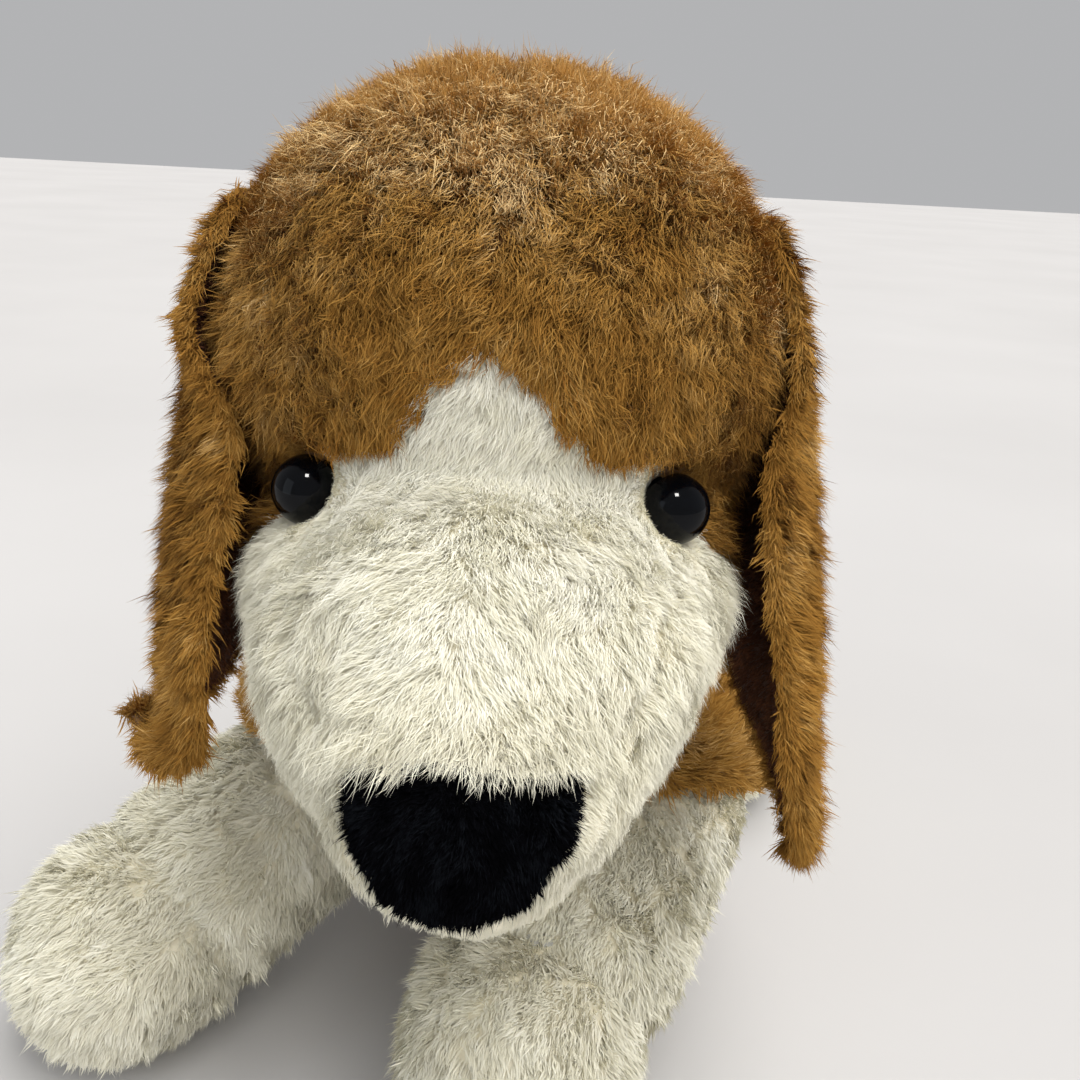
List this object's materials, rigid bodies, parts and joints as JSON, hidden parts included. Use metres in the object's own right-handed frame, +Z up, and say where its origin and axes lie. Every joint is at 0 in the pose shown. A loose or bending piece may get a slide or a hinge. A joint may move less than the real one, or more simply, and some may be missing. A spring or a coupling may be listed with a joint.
{
  "type": "plush dog",
  "caption": "Stuffed plush dog lying with its head up: brown head, body and long hanging ears, cream blaze, muzzle and legs, black nose and glossy black eyes.",
  "frame": {"origin": "on the flat of the belly that the dog rests on, on the body's middle line", "axes": "+Z up, the head faces -Y, the dog's own left side is +X"},
  "size_m": [0.2191, 0.3162, 0.2151],
  "materials": {
    "brown_plush": "caramel brown pile plush",
    "cream_plush": "cream pile plush",
    "nose_plush": "black short-pile plush",
    "ear_lining": "reddish brown short-pile velour",
    "eye_plastic": "glossy black",
    "washer_plastic": "natural white",
    "polyester_fill": "matt white fibre",
    "bag_cloth": "plain woven cotton",
    "thread": "brown sewing thread",
    "label_ribbon": "white satin ribbon"
  },
  "bodies": {
    "torso": {"back_panel": "brown_plush", "belly_panel": "brown_plush", "body_stuffing": "polyester_fill", "pellet_bag": "bag_cloth", "closing_stitches": "thread", "care_label": "label_ribbon"},
    "neck": {"neck_skin": "brown_plush", "neck_stuffing": "polyester_fill"},
    "head": {"crown_left": "brown_plush", "crown_right": "brown_plush", "blaze_gusset": "cream_plush", "cheek_left": "cream_plush", "cheek_right": "cream_plush", "chin_panel": "cream_plush", "nose_patch": "nose_plush", "head_stuffing": "polyester_fill", "eye_left": "eye_plastic", "eye_right": "eye_plastic", "eye_washer_left": "washer_plastic", "eye_washer_right": "washer_plastic"},
    "ear_left": {"ear_left_outer": "brown_plush", "ear_left_lining": "ear_lining"},
    "ear_right": {"ear_right_outer": "brown_plush", "ear_right_lining": "ear_lining"},
    "front_leg_left": {"front_leg_left_skin": "cream_plush", "front_leg_left_stuffing": "polyester_fill"},
    "front_leg_right": {"front_leg_right_skin": "cream_plush", "front_leg_right_stuffing": "polyester_fill"},
    "hind_leg_left": {"hind_leg_left_skin": "cream_plush", "hind_leg_left_stuffing": "polyester_fill"},
    "hind_leg_right": {"hind_leg_right_skin": "cream_plush", "hind_leg_right_stuffing": "polyester_fill"},
    "tail": {"tail_skin": "brown_plush", "tail_stuffing": "polyester_fill"}
  },
  "joints": [
    {"name": "head_turn", "type": "hinge", "parent": "torso", "child": "neck", "pos_m": [-0.016, -0.095, 0.127], "axis": [0, 0, 1], "range_deg": [-12, 12]},
    {"name": "head_nod", "type": "hinge", "parent": "neck", "child": "head", "pos_m": [-0.016, -0.095, 0.127], "axis": [1, 0, 0], "range_deg": [-12, 8]},
    {"name": "ear_left_flop", "type": "hinge", "parent": "head", "child": "ear_left", "pos_m": [0.0295, -0.119, 0.193], "axis": [0, -1, 0], "range_deg": [0, 80]},
    {"name": "ear_right_flop", "type": "hinge", "parent": "head", "child": "ear_right", "pos_m": [-0.0615, -0.119, 0.193], "axis": [0, 1, 0], "range_deg": [0, 80]},
    {"name": "front_leg_left_swing", "type": "hinge", "parent": "torso", "child": "front_leg_left", "pos_m": [0.0235, -0.09189, 0.056], "axis": [0, 0, 1], "range_deg": [-5, 35]},
    {"name": "front_leg_right_swing", "type": "hinge", "parent": "torso", "child": "front_leg_right", "pos_m": [-0.05514, -0.07717, 0.05], "axis": [0, 0, -1], "range_deg": [-24, 25]},
    {"name": "hind_leg_left_swing", "type": "hinge", "parent": "torso", "child": "hind_leg_left", "pos_m": [0.05258, -0.0017, 0.0255], "axis": [0, 0, -1], "range_deg": [-4, 40]},
    {"name": "hind_leg_right_swing", "type": "hinge", "parent": "torso", "child": "hind_leg_right", "pos_m": [-0.04964, 0.01743, 0.0255], "axis": [0, 0, 1], "range_deg": [-4, 40]},
    {"name": "tail_wag", "type": "hinge", "parent": "torso", "child": "tail", "pos_m": [0.00975, 0.0521, 0.064], "axis": [0, 0, 1], "range_deg": [-30, 30]}
  ]
}
